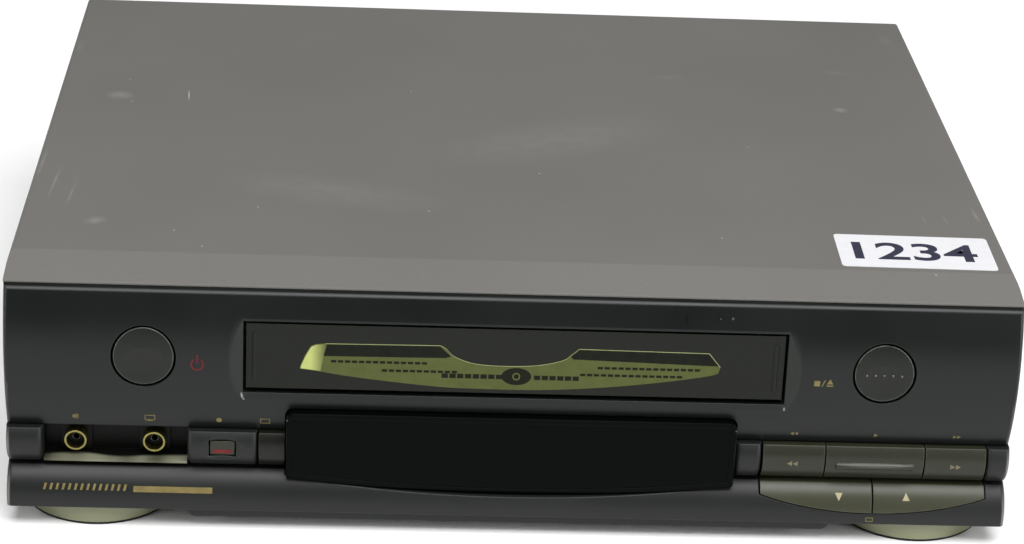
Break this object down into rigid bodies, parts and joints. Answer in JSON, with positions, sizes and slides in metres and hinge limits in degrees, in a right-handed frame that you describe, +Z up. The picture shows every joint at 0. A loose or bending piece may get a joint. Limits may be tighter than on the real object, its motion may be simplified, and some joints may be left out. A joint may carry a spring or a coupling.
{
  "type": "video cassette recorder",
  "caption": "Low, wide video cassette recorder with a bowed dark front, a hinged cassette flap, round buttons, a bar of keys and a tape mechanism inside.",
  "frame": {"origin": "on the shelf under the middle of the recorder's outline", "axes": "+Z up, -Y out of the front, +X to the right seen from the front"},
  "size_m": [0.3832, 0.3178, 0.1],
  "materials": {
    "cover_paint": "satin, fine grain",
    "front_plastic": "satin",
    "bar_plastic": "satin",
    "key_plastic": "satin",
    "record_plastic": "satin",
    "window_gloss": "glossy",
    "flap_plastic": "satin",
    "galvanised": "dull galvanised",
    "rear_paint": "satin",
    "spring_wire": "bright",
    "socket_gold": "bright plated",
    "socket_black": "satin",
    "foot_black": "satin",
    "foot_khaki": "satin",
    "rubber_black": "matte",
    "screw_black": "blackened",
    "board_green": "lacquered",
    "board_tan": "lacquered",
    "tube_glass": "clear",
    "switch_black": "satin",
    "deck_steel": "galvanised",
    "reel_black": "satin",
    "white_plastic": "satin",
    "drum_metal": "fine turned",
    "shaft_steel": "ground",
    "motor_steel": "zinc plated",
    "gear_brass": "cut",
    "head_metal": "polished",
    "core_steel": "varnished"
  },
  "bodies": {
    "case": {"top_cover": "cover_paint", "bottom_pan": "galvanised", "rear_panel": "rear_paint", "upper_fascia": "front_plastic", "control_bar": "bar_plastic", "lower_bezel": "front_plastic", "display_window": "window_gloss", "flap_spring": "spring_wire", "jack_holder": "socket_black", "video_jack": "socket_gold", "audio_jack": "socket_gold", "front_left_foot": "foot_black", "front_right_foot": "foot_black", "rear_left_foot": "rubber_black", "rear_right_foot": "rubber_black", "foot_rings": "foot_khaki", "foot_pads": "rubber_black", "case_screws": "screw_black", "front_board": "board_tan", "display_tube": "tube_glass", "tact_switches": "switch_black", "deck_plate": "deck_steel", "side_brackets": "deck_steel", "drive_belt": "rubber_black", "lower_drum": "drum_metal", "capstan_motor": "motor_steel", "loading_motor": "motor_steel", "erase_head": "head_metal", "sound_head": "head_metal", "main_board": "board_green", "tuner_box": "motor_steel", "rear_jacks": "socket_black", "power_board": "board_tan", "transformer": "core_steel", "mains_inlet": "socket_black"},
    "flap": {"cassette_flap": "flap_plastic"},
    "power_key": {"power_button": "front_plastic"},
    "eject_key": {"eject_button": "front_plastic"},
    "record_key": {"record_button": "record_plastic"},
    "monitor_key": {"monitor_button": "key_plastic"},
    "rewind_key": {"rewind_button": "key_plastic"},
    "play_key": {"play_button": "key_plastic"},
    "forward_key": {"forward_button": "key_plastic"},
    "channel_down_key": {"channel_down_button": "key_plastic"},
    "channel_up_key": {"channel_up_button": "key_plastic"},
    "carriage": {"basket_slider": "deck_steel"},
    "basket": {"cassette_basket": "deck_steel"},
    "supply_spindle": {"supply_reel": "reel_black"},
    "take_up_spindle": {"take_up_reel": "reel_black"},
    "idler": {"idler_arm": "white_plastic"},
    "idler_roller": {"idler_wheel": "rubber_black"},
    "pulley": {"drive_pulley": "white_plastic"},
    "head_rotor": {"upper_drum": "drum_metal"},
    "capstan_shaft": {"capstan": "shaft_steel"},
    "pinch": {"pinch_arm": "deck_steel"},
    "pinch_wheel": {"pinch_roller": "rubber_black"},
    "supply_loader": {"supply_guide": "shaft_steel"},
    "take_up_loader": {"take_up_guide": "shaft_steel"},
    "loader_gear": {"loading_gear": "white_plastic"},
    "loader_pinion": {"motor_pinion": "gear_brass"}
  },
  "joints": [
    {"name": "flap_hinge", "type": "hinge", "parent": "case", "child": "flap", "pos_m": [0, -0.14653, 0.08565], "axis": [1, 0, 0], "range_deg": [0, 84], "stiffness_Nm_per_rad": 0.004, "springref_deg": -28.65},
    {"name": "power_press", "type": "slide", "parent": "case", "child": "power_key", "axis": [0, 1, 0], "range_m": [0, 0.0015], "stiffness_N_per_m": 900, "springref_m": -0.0006},
    {"name": "eject_press", "type": "slide", "parent": "case", "child": "eject_key", "axis": [0, 1, 0], "range_m": [0, 0.0015], "stiffness_N_per_m": 900, "springref_m": -0.0006},
    {"name": "record_press", "type": "slide", "parent": "case", "child": "record_key", "axis": [0, 1, 0], "range_m": [0, 0.0012], "stiffness_N_per_m": 900, "springref_m": -0.0006},
    {"name": "monitor_press", "type": "slide", "parent": "case", "child": "monitor_key", "axis": [0, 1, 0], "range_m": [0, 0.0012], "stiffness_N_per_m": 900, "springref_m": -0.0006},
    {"name": "rewind_press", "type": "slide", "parent": "case", "child": "rewind_key", "axis": [0, 1, 0], "range_m": [0, 0.0012], "stiffness_N_per_m": 900, "springref_m": -0.0006},
    {"name": "play_press", "type": "slide", "parent": "case", "child": "play_key", "axis": [0, 1, 0], "range_m": [0, 0.0012], "stiffness_N_per_m": 900, "springref_m": -0.0006},
    {"name": "forward_press", "type": "slide", "parent": "case", "child": "forward_key", "axis": [0, 1, 0], "range_m": [0, 0.0012], "stiffness_N_per_m": 900, "springref_m": -0.0006},
    {"name": "channel_down_press", "type": "slide", "parent": "case", "child": "channel_down_key", "axis": [0, 1, 0], "range_m": [0, 0.0012], "stiffness_N_per_m": 900, "springref_m": -0.0006},
    {"name": "channel_up_press", "type": "slide", "parent": "case", "child": "channel_up_key", "axis": [0, 1, 0], "range_m": [0, 0.0012], "stiffness_N_per_m": 900, "springref_m": -0.0006},
    {"name": "carriage_feed", "type": "slide", "parent": "case", "child": "carriage", "axis": [0, 1, 0], "range_m": [0, 0.085]},
    {"name": "basket_drop", "type": "slide", "parent": "carriage", "child": "basket", "axis": [0, 0, -1], "range_m": [0, 0.0246]},
    {"name": "supply_reel_turn", "type": "hinge", "parent": "case", "child": "supply_spindle", "pos_m": [-0.042, -0.0142, 0.0286], "axis": [0, 0, 1], "continuous": true},
    {"name": "take_up_reel_turn", "type": "hinge", "parent": "case", "child": "take_up_spindle", "pos_m": [0.042, -0.0142, 0.0286], "axis": [0, 0, 1], "continuous": true},
    {"name": "idler_swing", "type": "hinge", "parent": "case", "child": "idler", "pos_m": [0, -0.0542, 0.0286], "axis": [0, 0, 1], "range_deg": [-18, 18]},
    {"name": "idler_wheel_turn", "type": "hinge", "parent": "idler", "child": "idler_roller", "pos_m": [0, -0.0262, 0.0286], "axis": [0, 0, 1], "continuous": true},
    {"name": "drive_pulley_turn", "type": "hinge", "parent": "case", "child": "pulley", "pos_m": [0, -0.0542, 0.0286], "axis": [0, 0, 1], "continuous": true},
    {"name": "head_turn", "type": "hinge", "parent": "case", "child": "head_rotor", "pos_m": [0, 0.0838, 0.0323], "axis": [0, -0.1045, 0.9945], "continuous": true},
    {"name": "capstan_turn", "type": "hinge", "parent": "case", "child": "capstan_shaft", "pos_m": [0.068, 0.0518, 0.0286], "axis": [0, 0, 1], "continuous": true},
    {"name": "pinch_swing", "type": "hinge", "parent": "case", "child": "pinch", "pos_m": [0.095, 0.0758, 0.0286], "axis": [0, 0, 1], "range_deg": [0, 23], "stiffness_Nm_per_rad": 0.01, "springref_deg": -11.46},
    {"name": "pinch_roller_turn", "type": "hinge", "parent": "pinch", "child": "pinch_wheel", "pos_m": [0.06772, 0.07099, 0.0286], "axis": [0, 0, 1], "continuous": true},
    {"name": "loading_gear_turn", "type": "hinge", "parent": "case", "child": "loader_gear", "pos_m": [-0.05015, 0.0608, 0.0286], "axis": [0, 0, 1], "range_deg": [0, 33.6]},
    {"name": "supply_guide_swing", "type": "hinge", "parent": "case", "child": "supply_loader", "pos_m": [-0.01005, 0.0608, 0.0286], "axis": [0, 0, 1], "range_deg": [-101, 0]},
    {"name": "take_up_guide_swing", "type": "hinge", "parent": "case", "child": "take_up_loader", "pos_m": [0.01005, 0.0608, 0.0286], "axis": [0, 0, 1], "range_deg": [0, 101]},
    {"name": "motor_pinion_turn", "type": "hinge", "parent": "case", "child": "loader_pinion", "pos_m": [-0.07297, 0.08614, 0.0286], "axis": [0, 0, 1], "range_deg": [-253, 0]}
  ],
  "couplings": [
    {"joint": "supply_guide_swing", "follows": "loading_gear_turn", "ratio": -3},
    {"joint": "take_up_guide_swing", "follows": "loading_gear_turn", "ratio": 3},
    {"joint": "motor_pinion_turn", "follows": "loading_gear_turn", "ratio": -7.5},
    {"joint": "drive_pulley_turn", "follows": "capstan_turn", "ratio": 0.33333}
  ]
}
